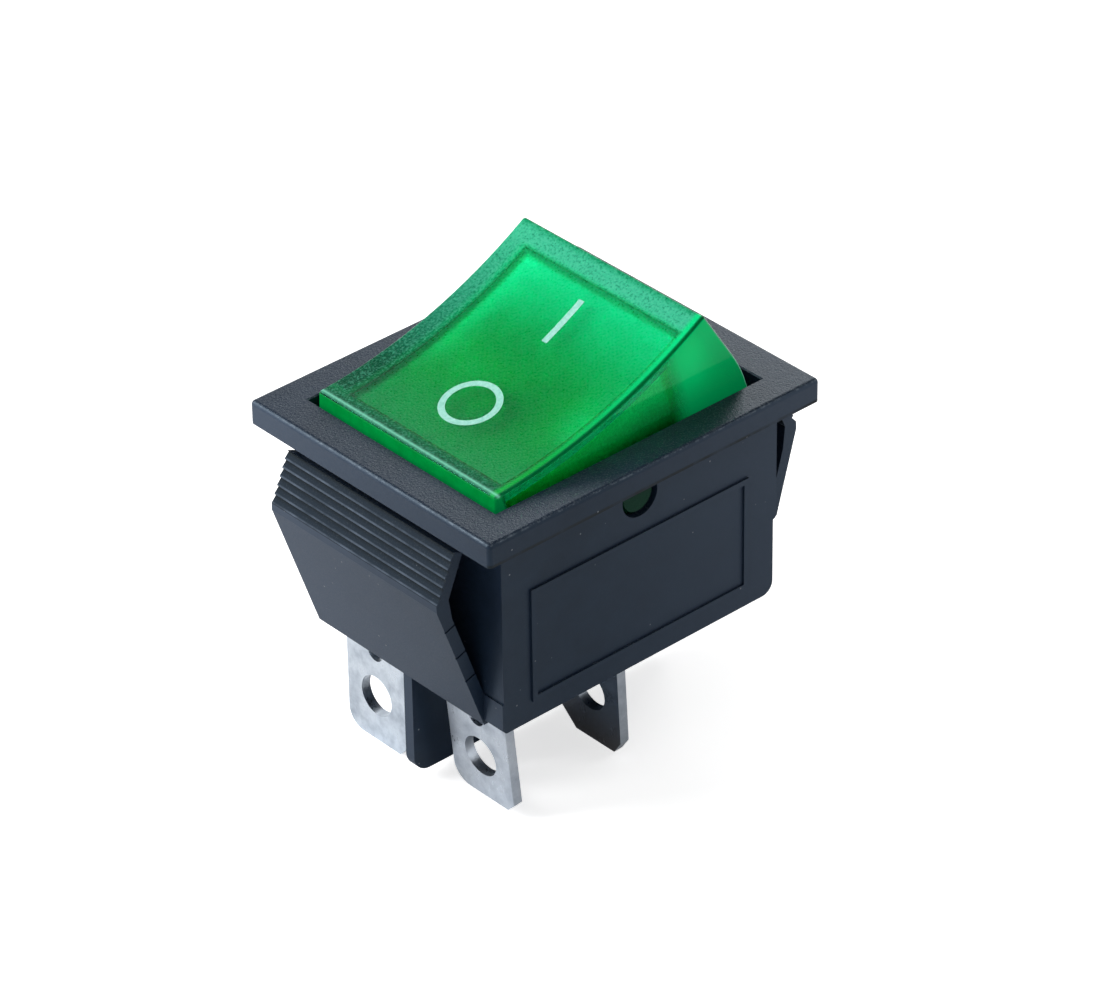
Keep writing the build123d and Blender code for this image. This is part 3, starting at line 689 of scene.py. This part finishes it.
def floor_finish():
    """Matte and pale, brightened to white for the camera and through clear plastic."""
    n = Nodes("floor")
    n.set(Base_Color=FLOOR_TONE, Roughness=0.9, Specular_IOR_Level=0.0)
    glow = n.node("Emission")
    glow.inputs["Color"].default_value = WHITE
    glow.inputs["Strength"].default_value = FLOOR_GLOW
    both = n.node("AddShader")
    n.link(n.shader.outputs[0], both.inputs[0])
    n.link(glow.outputs[0], both.inputs[1])
    mix = n.node("MixShader")
    n.link(seen_by(n.tree, "Is Camera Ray", "Is Transmission Ray"), mix.inputs[0])
    n.link(n.shader.outputs[0], mix.inputs[1])
    n.link(both.outputs[0], mix.inputs[2])
    n.link(mix.outputs[0], n.output.inputs["Surface"])
    return n.material


def floor():
    """A plain pale floor under the blades' tips."""
    low = cad_box[0].z - FLOOR_DROP
    half = FLOOR_HALF
    mesh = bpy.data.meshes.new("floor")
    corners = [(-half, -half, low), (half, -half, low), (half, half, low), (-half, half, low)]
    mesh.from_pydata(corners, [], [(0, 1, 2, 3)])
    made = put("floor", mesh)
    mesh.materials.append(floor_finish())


def camera():
    """The camera at the photograph's viewing angle."""
    data = bpy.data.cameras.new("camera")
    data.lens = CAMERA_LENS
    data.clip_start = CAMERA_NEAR
    made = put("camera", data)
    made.location = Vector(CAMERA_AT) * MM
    made.rotation_euler = Euler([radians(a) for a in CAMERA_TURN])
    bpy.context.scene.camera = made


# Printed marks
def on_top(x, y, lift):
    """A point of the rocker's hollow top in the row frame, lifted off it by a little, in metres."""
    radius = (TOP_CORNER_X ** 2 + SAG ** 2) / (2 * SAG)
    z = TOP - SAG + radius - sqrt(radius ** 2 - x ** 2) + lift
    across = x * ROCKER_ALONG[X] + z * ROCKER_UP[X]
    height = x * ROCKER_ALONG[Z] + z * ROCKER_UP[Z] - PIVOT_DROP
    return Vector((across, y, height)) * MM


def printed(name, outer, inner, material, closed):
    """A thin printed mark between two rows of points, laid on the rocker's top."""
    mesh = bmesh.new()
    rows = []
    for points, lift in ((outer, 0), (inner, 0), (inner, MARK_THICKNESS), (outer, MARK_THICKNESS)):
        rows.append([mesh.verts.new(on_top(x, y, lift)) for x, y in points])
    count = len(outer)
    last = count if closed else count - 1
    for i in range(last):
        j = (i + 1) % count
        for a, b in zip(rows, rows[1:] + rows[:1]):
            mesh.faces.new((a[i], a[j], b[j], b[i]))
    if not closed:
        mesh.faces.new([row[0] for row in rows])
        mesh.faces.new([row[-1] for row in reversed(rows)])
    bmesh.ops.recalc_face_normals(mesh, faces=mesh.faces)
    data = bpy.data.meshes.new(name)
    mesh.to_mesh(data)
    mesh.free()
    data.materials.append(material)
    made = put(name, data)
    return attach(made, "rocker")


def ring_rows():
    """The O ring's outer and inner points."""
    turns = [2 * pi * i / RING_STEPS for i in range(RING_STEPS)]
    rows = []
    for r in (RING_R, RING_R - MARK_STROKE):
        rows.append([(RING_AT[0] + r * cos(a), RING_AT[1] + r * sin(a)) for a in turns])
    return rows


def bar_rows():
    """The points along the I bar's two long sides."""
    start = Vector(BAR_FROM)
    span = Vector(BAR_TO) - start
    across = Vector((-span.y, span.x)).normalized() * MARK_STROKE / 2
    rows = []
    for side in (across, -across):
        rows.append([tuple(start + span * i / BAR_STEPS + side) for i in range(BAR_STEPS + 1)])
    return rows


def marks():
    """The O ring and the I bar, in one slightly rubbed white print."""
    n = Nodes("print_white")
    wear = n.remap(n.noise(PRINT_WEAR, 3, 0.6), 0.35, 0.7)
    n.set(Base_Color=n.mix(wear, colour(168, 226, 212), colour(128, 202, 182)), Roughness=0.5)
    printed("mark_o", *ring_rows(), n.material, True)
    printed("mark_i", *bar_rows(), n.material, False)


camera()
world()
lamps()
floor()
dress()
marks()
bpy.context.scene.view_settings.view_transform = "Standard"
